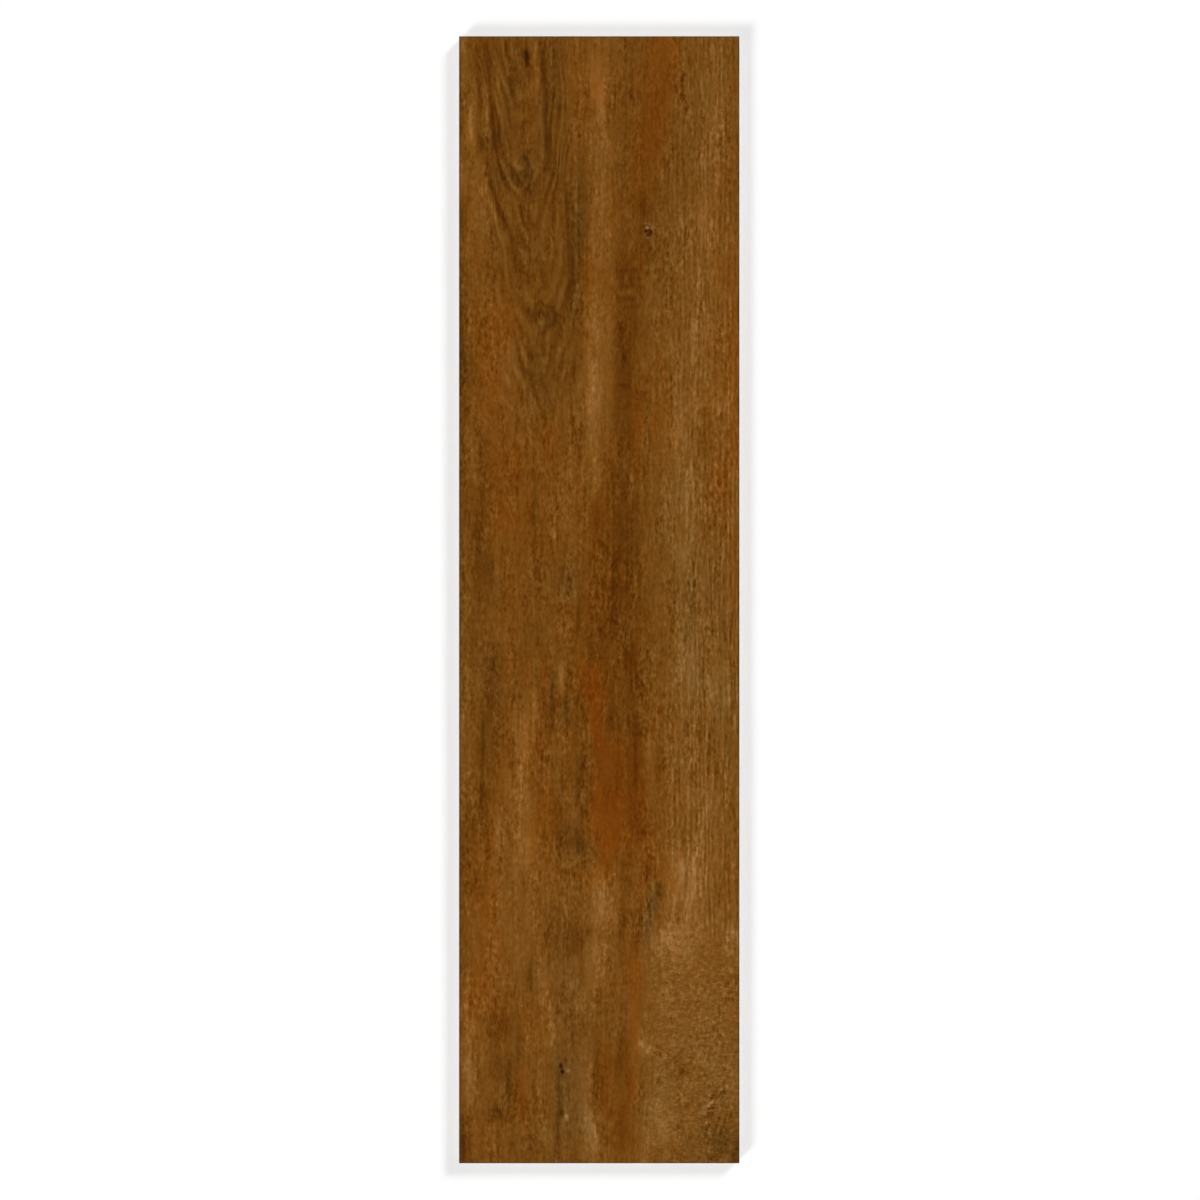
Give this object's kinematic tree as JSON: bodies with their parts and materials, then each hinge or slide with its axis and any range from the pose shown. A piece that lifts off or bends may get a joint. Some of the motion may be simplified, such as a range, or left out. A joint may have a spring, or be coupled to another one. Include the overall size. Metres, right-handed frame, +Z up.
{
  "type": "porcelain tile",
  "caption": "Rectangular porcelain floor tile in a dark wood-look plank format, with ground square edges, a bevelled face and a pocketed back that keys into mortar.",
  "frame": {"origin": "middle of the plane that the back ribs rest on", "axes": "+X across the plank, +Y along it towards the end that is up in the picture, +Z up out of the glazed face"},
  "size_m": [0.149, 0.599, 0.009],
  "materials": {
    "wood_look_glaze": "satin"
  },
  "bodies": {
    "root": {"porcelain_tile": "wood_look_glaze"}
  },
  "joints": []
}
